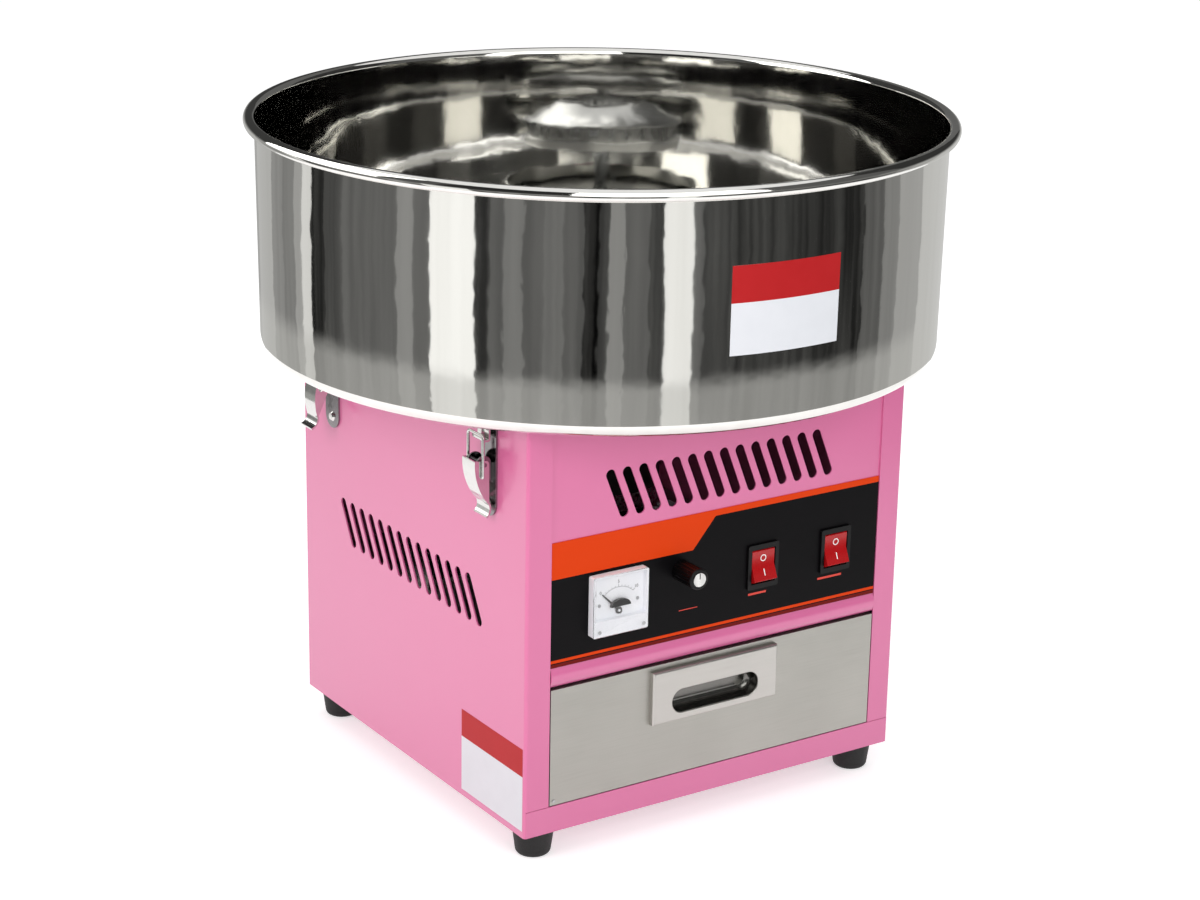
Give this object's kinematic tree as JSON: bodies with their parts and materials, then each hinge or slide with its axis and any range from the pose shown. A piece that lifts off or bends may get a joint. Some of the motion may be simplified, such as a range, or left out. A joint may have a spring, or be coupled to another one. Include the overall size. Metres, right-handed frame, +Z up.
{
  "type": "candy floss machine",
  "caption": "Electric table-top candy floss machine: square steel cabinet with control panel and drawer, under a round lift-off steel bowl around a spinning head.",
  "frame": {"origin": "on the floor under the middle of the cabinet and bowl", "axes": "+Z up, -Y to the front with the control panel, +X to the right seen from the front"},
  "size_m": [0.5195, 0.5196, 0.4978],
  "materials": {
    "pink_enamel": "smooth powder coat",
    "polished_steel": "mirror polished stainless",
    "brushed_stainless": "fine brushed stainless",
    "latch_steel": "bright plated",
    "zinc_steel": "zinc plated",
    "spun_aluminium": "spun and polished",
    "black_enamel": "satin",
    "copper": "turned",
    "carbon": "matte",
    "black_rubber": "matte",
    "black_plastic": "fine texture",
    "fascia_film": "satin film",
    "white_plastic": "smooth",
    "dial_white": "printed card",
    "clear_plastic": "clear",
    "red_plastic": "gloss",
    "needle_black": "painted"
  },
  "bodies": {
    "cabinet": {"base_pan": "pink_enamel", "left_side_panel": "pink_enamel", "right_side_panel": "pink_enamel", "rear_panel": "pink_enamel", "front_panel": "pink_enamel", "top_deck": "brushed_stainless", "divider_shelf": "brushed_stainless", "drawer_runners": "zinc_steel", "control_fascia": "fascia_film", "meter_case": "white_plastic", "meter_dial": "dial_white", "meter_cover": "clear_plastic", "heat_potentiometer": "zinc_steel", "power_switch_housing": "black_plastic", "heater_switch_housing": "black_plastic", "bowl_gasket": "black_rubber", "motor_plate": "zinc_steel", "motor_dampers": "black_rubber", "motor_stator": "black_enamel", "motor_end_bells": "spun_aluminium", "motor_bearings": "zinc_steel", "motor_screws": "zinc_steel", "brush_holder": "black_plastic", "carbon_brushes": "carbon", "heat_regulator": "spun_aluminium", "terminal_block": "white_plastic", "cable_gland": "black_plastic", "feet": "black_rubber", "foot_screws": "zinc_steel", "panel_screws": "zinc_steel", "latch_bases": "latch_steel", "latch_rivets": "latch_steel"},
    "spinner": {"motor_shaft": "zinc_steel", "motor_rotor": "spun_aluminium", "cooling_fan": "black_plastic", "slip_ring_hub": "black_plastic", "slip_rings": "copper", "spinner_base": "spun_aluminium", "heater_coil": "zinc_steel", "spinner_band": "spun_aluminium", "spinner_cone": "spun_aluminium", "head_nut": "polished_steel"},
    "bowl_body": {"bowl": "polished_steel", "bowl_strikes": "latch_steel"},
    "drawer": {"drawer_tray": "brushed_stainless", "drawer_front": "brushed_stainless", "drawer_handle": "brushed_stainless", "handle_pocket": "polished_steel"},
    "knob": {"control_knob": "black_plastic"},
    "power_button": {"power_rocker": "red_plastic"},
    "heater_button": {"heater_rocker": "red_plastic"},
    "needle": {"meter_needle": "needle_black"},
    "front_left_lever": {"front_left_latch_lever": "latch_steel"},
    "front_left_bail": {"front_left_latch_bail": "latch_steel"},
    "rear_left_lever": {"rear_left_latch_lever": "latch_steel"},
    "rear_left_bail": {"rear_left_latch_bail": "latch_steel"},
    "front_right_lever": {"front_right_latch_lever": "latch_steel"},
    "front_right_bail": {"front_right_latch_bail": "latch_steel"},
    "rear_right_lever": {"rear_right_latch_lever": "latch_steel"},
    "rear_right_bail": {"rear_right_latch_bail": "latch_steel"}
  },
  "joints": [
    {"name": "bowl_lift", "type": "slide", "parent": "cabinet", "child": "bowl_body", "axis": [0, 0, 1], "range_m": [0, 0.2]},
    {"name": "spinner_spin", "type": "hinge", "parent": "cabinet", "child": "spinner", "pos_m": [0, 0, 0.3], "axis": [0, 0, 1], "continuous": true},
    {"name": "drawer_slide", "type": "slide", "parent": "cabinet", "child": "drawer", "axis": [0, -1, 0], "range_m": [0, 0.23]},
    {"name": "knob_turn", "type": "hinge", "parent": "cabinet", "child": "knob", "pos_m": [-0.034, -0.1626, 0.2], "axis": [0, 1, 0], "range_deg": [0, 300]},
    {"name": "power_rock", "type": "hinge", "parent": "cabinet", "child": "power_button", "pos_m": [0.0375, -0.1606, 0.19], "axis": [1, 0, 0], "range_deg": [0, 22]},
    {"name": "heater_rock", "type": "hinge", "parent": "cabinet", "child": "heater_button", "pos_m": [0.1035, -0.1606, 0.19], "axis": [1, 0, 0], "range_deg": [0, 22]},
    {"name": "needle_swing", "type": "hinge", "parent": "cabinet", "child": "needle", "pos_m": [-0.089, -0.166, 0.182], "axis": [0, 1, 0], "range_deg": [0, 90], "stiffness_Nm_per_rad": 0.0005},
    {"name": "front_left_lever_swing", "type": "hinge", "parent": "cabinet", "child": "front_left_lever", "pos_m": [-0.172, -0.114, 0.29], "axis": [0, 1, 0], "range_deg": [0, 110]},
    {"name": "front_left_bail_swing", "type": "hinge", "parent": "front_left_lever", "child": "front_left_bail", "pos_m": [-0.1746, -0.114, 0.2815], "axis": [0, 1, 0], "range_deg": [-137.5, 0]},
    {"name": "rear_left_lever_swing", "type": "hinge", "parent": "cabinet", "child": "rear_left_lever", "pos_m": [-0.172, 0.114, 0.29], "axis": [0, 1, 0], "range_deg": [-24, 86]},
    {"name": "rear_left_bail_swing", "type": "hinge", "parent": "rear_left_lever", "child": "rear_left_bail", "pos_m": [-0.17783, 0.114, 0.28329], "axis": [0, 1, 0], "range_deg": [-107.5, 30]},
    {"name": "front_right_lever_swing", "type": "hinge", "parent": "cabinet", "child": "front_right_lever", "pos_m": [0.172, -0.114, 0.29], "axis": [0, -1, 0], "range_deg": [0, 110]},
    {"name": "front_right_bail_swing", "type": "hinge", "parent": "front_right_lever", "child": "front_right_bail", "pos_m": [0.1746, -0.114, 0.2815], "axis": [0, -1, 0], "range_deg": [-137.5, 0]},
    {"name": "rear_right_lever_swing", "type": "hinge", "parent": "cabinet", "child": "rear_right_lever", "pos_m": [0.172, 0.114, 0.29], "axis": [0, -1, 0], "range_deg": [0, 110]},
    {"name": "rear_right_bail_swing", "type": "hinge", "parent": "rear_right_lever", "child": "rear_right_bail", "pos_m": [0.1746, 0.114, 0.2815], "axis": [0, -1, 0], "range_deg": [-137.5, 0]}
  ],
  "couplings": [
    {"joint": "front_left_bail_swing", "follows": "front_left_lever_swing", "ratio": -1.25},
    {"joint": "rear_left_bail_swing", "follows": "rear_left_lever_swing", "ratio": -1.25},
    {"joint": "front_right_bail_swing", "follows": "front_right_lever_swing", "ratio": -1.25},
    {"joint": "rear_right_bail_swing", "follows": "rear_right_lever_swing", "ratio": -1.25}
  ]
}
